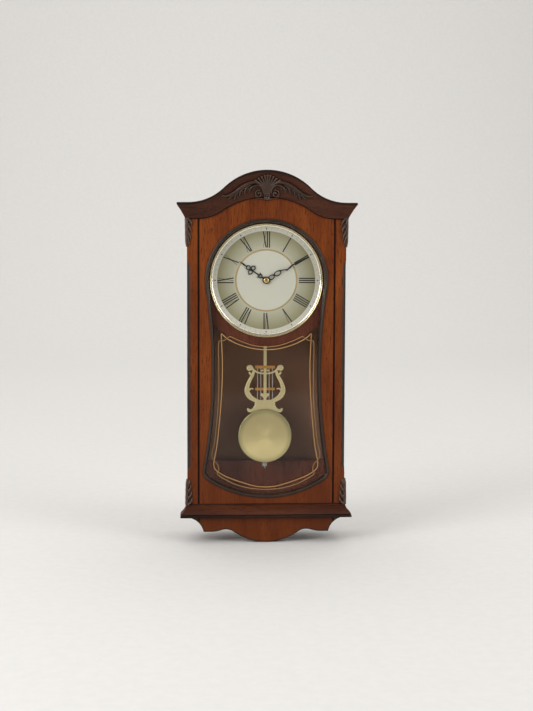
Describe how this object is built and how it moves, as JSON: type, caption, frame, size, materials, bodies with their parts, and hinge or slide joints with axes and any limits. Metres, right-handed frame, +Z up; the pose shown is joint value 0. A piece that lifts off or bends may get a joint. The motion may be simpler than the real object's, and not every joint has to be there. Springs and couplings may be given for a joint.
{
  "type": "pendulum wall clock",
  "caption": "Wooden wall clock with an arched carved crown, a round Roman dial and a swinging lyre pendulum behind a waisted glass window.",
  "frame": {"origin": "centre of the keyhole hanger's round entry hole, on the plane of the wall", "axes": "+Z up, +Y out of the back towards the wall, +X to the right as seen from the front"},
  "size_m": [0.326, 0.1244, 0.6802],
  "materials": {
    "veneer": "satin orange-brown veneer",
    "crown_wood": "satin dark reddish-brown stain",
    "base_wood": "satin red-brown stain",
    "carved_wood": "dark stained, carved",
    "dark_strip": "dark painted",
    "inner_wood": "reddish mahogany stain",
    "softwood": "raw",
    "hardboard": "raw hardboard",
    "glass": "clear",
    "steel": "zinc plated",
    "brass": "polished",
    "pale_brass": "brushed pale brass",
    "orange_brass": "polished",
    "silver": "bright",
    "dial_metal": "printed champagne dial",
    "black_steel": "black",
    "black_plastic": "moulded",
    "white_plastic": "moulded",
    "rubber": "matte",
    "cell": "printed sleeve, plain",
    "board_green": "circuit board",
    "copper": "enamelled copper wire"
  },
  "bodies": {
    "case": {"right_side_panel": "veneer", "left_side_panel": "veneer", "right_stile": "veneer", "left_stile": "veneer", "corner_beads": "dark_strip", "front_panel": "veneer", "glue_blocks": "softwood", "top_board": "veneer", "bottom_board": "inner_wood", "opening_moulding": "dark_strip", "glass_pane": "glass", "glass_clips": "steel", "case_screws": "steel", "crown_moulding": "crown_wood", "crown_returns": "crown_wood", "base_moulding": "base_wood", "base_returns": "base_wood", "apron": "veneer", "shell_carving": "carved_wood", "leaf_carvings": "carved_wood", "corner_carvings": "carved_wood", "top_back_rail": "inner_wood", "hanger_plate": "steel", "lower_back_rail": "inner_wood", "back_panel": "hardboard", "catch_magnet": "silver", "hinge_frame_leaves": "brass", "hinge_pins": "steel", "dial_mask_board": "inner_wood", "dial_plate": "dial_metal", "dial_bezel": "brass", "movement_housing": "black_plastic", "movement_nut": "brass", "movement_washer": "rubber", "movement_cover": "black_plastic", "battery": "cell", "battery_contacts": "steel", "circuit_board": "board_green", "drive_coils": "copper", "pivot_pin": "steel"},
    "rear_door": {"rear_door": "hardboard", "hinge_door_leaves": "brass", "door_tab": "steel"},
    "hour": {"hour_hand": "black_steel", "hour_wheel": "white_plastic"},
    "minute": {"minute_hand": "black_steel", "minute_arbor": "brass", "hand_nut": "brass"},
    "intermediate": {"intermediate_wheel": "white_plastic", "setting_knob": "white_plastic"},
    "pendulum": {"pendulum_hanger": "steel", "pendulum_rod": "pale_brass", "lyre_plate": "pale_brass", "lyre_strings": "silver", "lyre_crossbars": "orange_brass", "lyre_rivets": "steel", "rating_stud": "steel"},
    "bob": {"bob_face": "pale_brass", "bob_back": "pale_brass"},
    "rating_nut": {"rating_nut": "silver"}
  },
  "joints": [
    {"name": "minute_hand_turn", "type": "hinge", "parent": "case", "child": "minute", "pos_m": [0, -0.0895, -0.0986], "axis": [0, 1, 0], "continuous": true},
    {"name": "hour_hand_turn", "type": "hinge", "parent": "case", "child": "hour", "pos_m": [0, -0.0895, -0.0986], "axis": [0, 1, 0], "continuous": true},
    {"name": "setting_knob_turn", "type": "hinge", "parent": "case", "child": "intermediate", "pos_m": [0.012, -0.06, -0.0986], "axis": [0, 1, 0], "continuous": true},
    {"name": "pendulum_swing", "type": "hinge", "parent": "case", "child": "pendulum", "pos_m": [0, -0.0584, -0.125], "axis": [0, 1, 0], "range_deg": [-5, 5]},
    {"name": "bob_slide", "type": "slide", "parent": "pendulum", "child": "bob", "axis": [0, 0, 1], "range_m": [-0.002, 0.002]},
    {"name": "rating_nut_turn", "type": "hinge", "parent": "bob", "child": "rating_nut", "pos_m": [0, -0.0554, -0.4435], "axis": [0, 0, 1], "range_deg": [-1030, 1030]},
    {"name": "rear_door_hinge", "type": "hinge", "parent": "case", "child": "rear_door", "pos_m": [-0.055, -0.0015, -0.1125], "axis": [0, 0, 1], "range_deg": [0, 110]}
  ],
  "couplings": [
    {"joint": "hour_hand_turn", "follows": "minute_hand_turn", "ratio": 0.083333},
    {"joint": "setting_knob_turn", "follows": "minute_hand_turn", "ratio": -0.33333},
    {"joint": "rating_nut_turn", "follows": "bob_slide", "rad_per_m": 8976}
  ]
}
